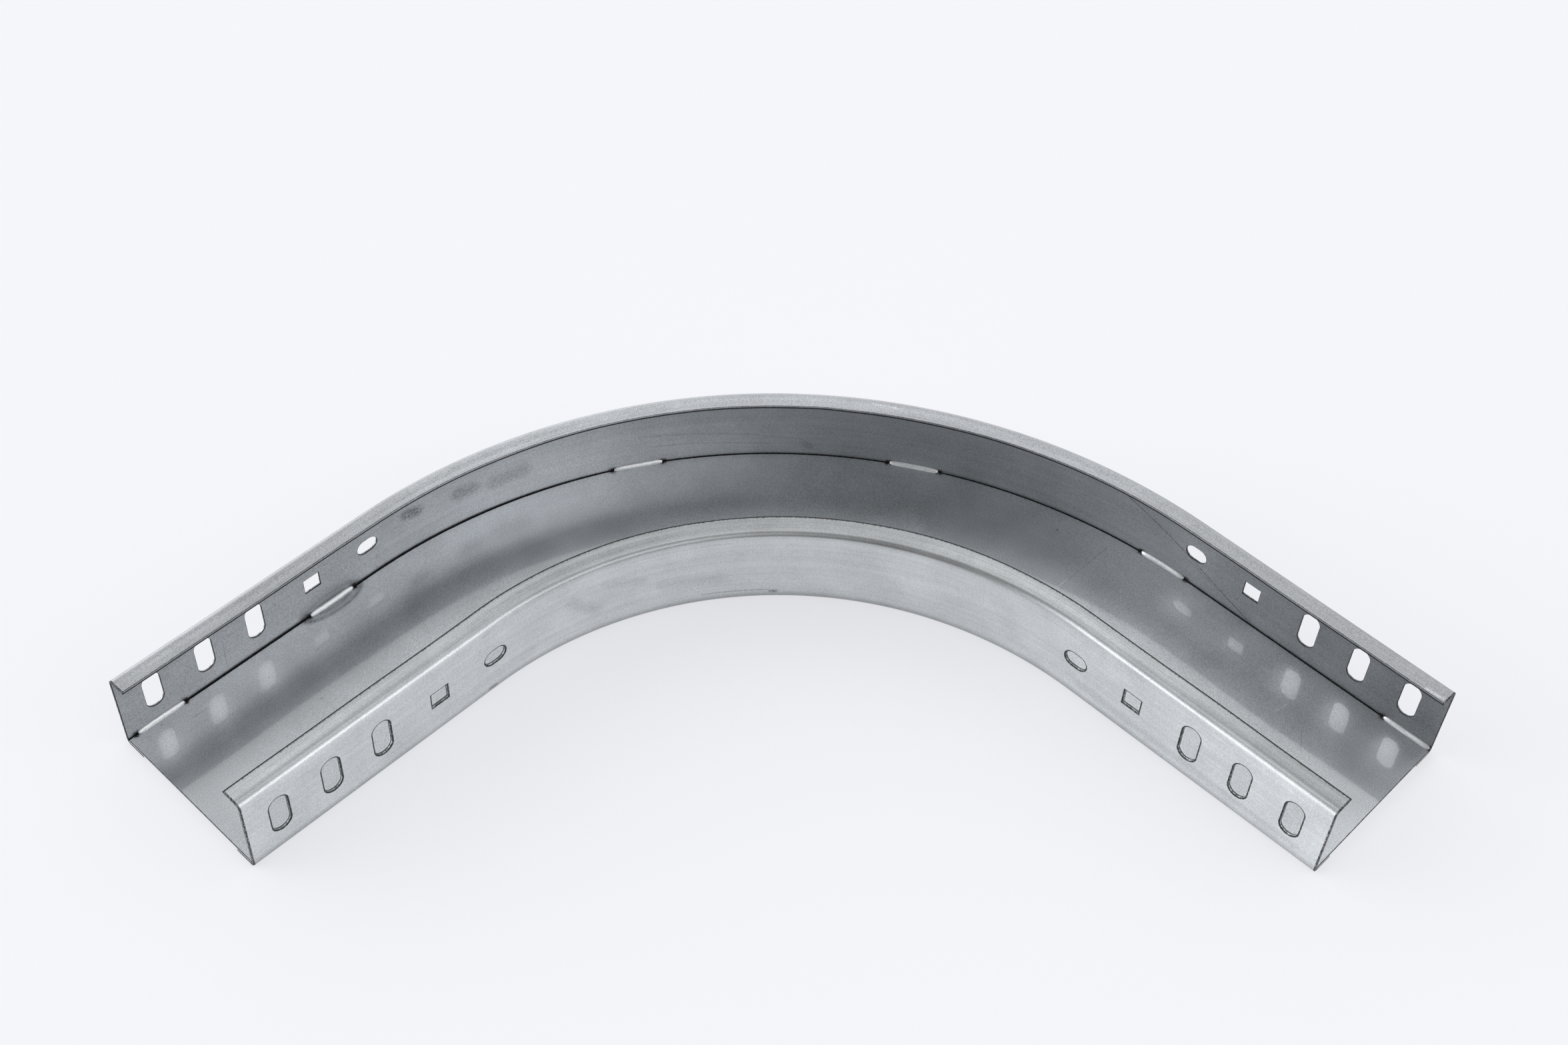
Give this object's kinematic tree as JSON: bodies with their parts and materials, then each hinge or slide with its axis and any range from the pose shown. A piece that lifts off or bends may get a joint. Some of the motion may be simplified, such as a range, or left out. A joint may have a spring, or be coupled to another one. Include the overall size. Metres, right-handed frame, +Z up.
{
  "type": "cable tray bend",
  "caption": "Flat 90 degree bend of solid-bottom steel cable tray: a bent floor plate welded between two lipped side rails, with slotted straight legs that join the next trays.",
  "frame": {"origin": "middle of the footprint of the tray's box, on the surface that it lies on", "axes": "+Z up, out of the open top; the first leg runs along X and opens at -X, the second runs along Y and opens at -Y, and the outside of the bend faces +X +Y"},
  "size_m": [0.45, 0.45, 0.05],
  "materials": {
    "sheet_steel": "bare cold-rolled steel sheet, satin, with fine lengthwise rolling marks and handling smudges",
    "weld_metal": "bright as-welded bead, blackened at both ends"
  },
  "bodies": {
    "root": {"floor_plate": "sheet_steel", "outer_side_rail": "sheet_steel", "inner_side_rail": "sheet_steel", "outer_weld_1": "weld_metal", "outer_weld_2": "weld_metal", "outer_weld_3": "weld_metal", "outer_weld_4": "weld_metal", "outer_weld_5": "weld_metal", "outer_weld_6": "weld_metal", "inner_weld_1": "weld_metal", "inner_weld_2": "weld_metal", "inner_weld_3": "weld_metal", "inner_weld_4": "weld_metal", "inner_weld_5": "weld_metal", "inner_weld_6": "weld_metal"}
  },
  "joints": []
}
